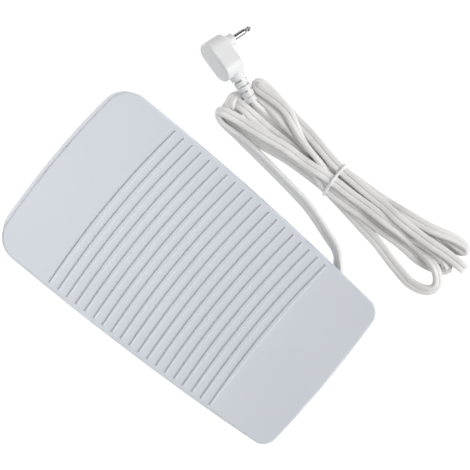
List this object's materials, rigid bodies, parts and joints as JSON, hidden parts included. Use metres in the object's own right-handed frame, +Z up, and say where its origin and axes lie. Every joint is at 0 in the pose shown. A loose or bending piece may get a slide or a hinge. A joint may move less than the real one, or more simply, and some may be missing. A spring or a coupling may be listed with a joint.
{
  "type": "sewing machine foot pedal",
  "caption": "Wedge-shaped foot pedal: ribbed grey treadle hinged at the heel on a rubber-footed base, geared speed sensor inside, flat cord folded in a hank with a right-angle mini jack plug.",
  "frame": {"origin": "bottom centre of the pedal's own box, on the floor under the middle of the treadle", "axes": "+Y towards the toe end, +X to the user's right where the cord leaves, +Z up"},
  "size_m": [0.1912, 0.2277, 0.0563],
  "materials": {
    "cover_plastic": "fine moulded texture",
    "base_plastic": "fine moulded texture",
    "rubber": "matt",
    "grommet_rubber": "matt",
    "steel": "bright zinc",
    "spring_steel": "drawn wire",
    "screw_steel": "bright zinc",
    "dark_plastic": "moulded",
    "black_plastic": "moulded",
    "brass": "plated",
    "board": "solder mask",
    "resistor": "lacquer",
    "connector_plastic": "moulded",
    "red_wire": "extruded",
    "yellow_wire": "extruded",
    "cord_jacket": "extruded soft vinyl",
    "tie_plastic": "coated wire",
    "plug_plastic": "soft moulded vinyl",
    "plated_steel": "nickel plated",
    "gear_plastic": "natural acetal",
    "aluminium": "turned"
  },
  "bodies": {
    "base": {"base_shell": "base_plastic", "rubber_feet": "rubber", "hinge_pin": "steel", "hinge_clips": "steel", "return_springs": "spring_steel", "bump_stops": "rubber", "pot_bracket": "steel", "bracket_screws": "screw_steel", "pot_housing": "dark_plastic", "pot_nut": "brass", "pot_terminals": "brass", "circuit_board": "board", "board_screws": "screw_steel", "resistors": "resistor", "lead_connector": "connector_plastic", "lead_wires": "red_wire", "pot_wires": "yellow_wire", "cord_grommet": "grommet_rubber", "cord_clamp": "dark_plastic", "clamp_screws": "screw_steel", "cord_lead": "cord_jacket", "cord_hank": "cord_jacket", "hank_tie": "tie_plastic", "cord_tail": "cord_jacket", "plug_boot": "plug_plastic", "plug_body": "plug_plastic", "plug_sleeve": "plated_steel", "plug_insulator": "black_plastic", "plug_tip": "plated_steel"},
    "treadle": {"treadle_cover": "cover_plastic", "sector_gear": "gear_plastic", "sector_screws": "screw_steel"},
    "rotor": {"drive_pinion": "gear_plastic", "pot_shaft": "aluminium"}
  },
  "joints": [
    {"name": "treadle_hinge", "type": "hinge", "parent": "base", "child": "treadle", "pos_m": [0, -0.08082, 0.013], "axis": [-1, 0, 0], "range_deg": [0, 6], "stiffness_Nm_per_rad": 8, "springref_deg": -3.44, "deforming": ["return_springs"]},
    {"name": "sensor_turn", "type": "hinge", "parent": "base", "child": "rotor", "pos_m": [0, 0.02207, 0.021], "axis": [1, 0, 0], "range_deg": [0, 80]}
  ],
  "couplings": [
    {"joint": "sensor_turn", "follows": "treadle_hinge", "ratio": 13.333}
  ]
}
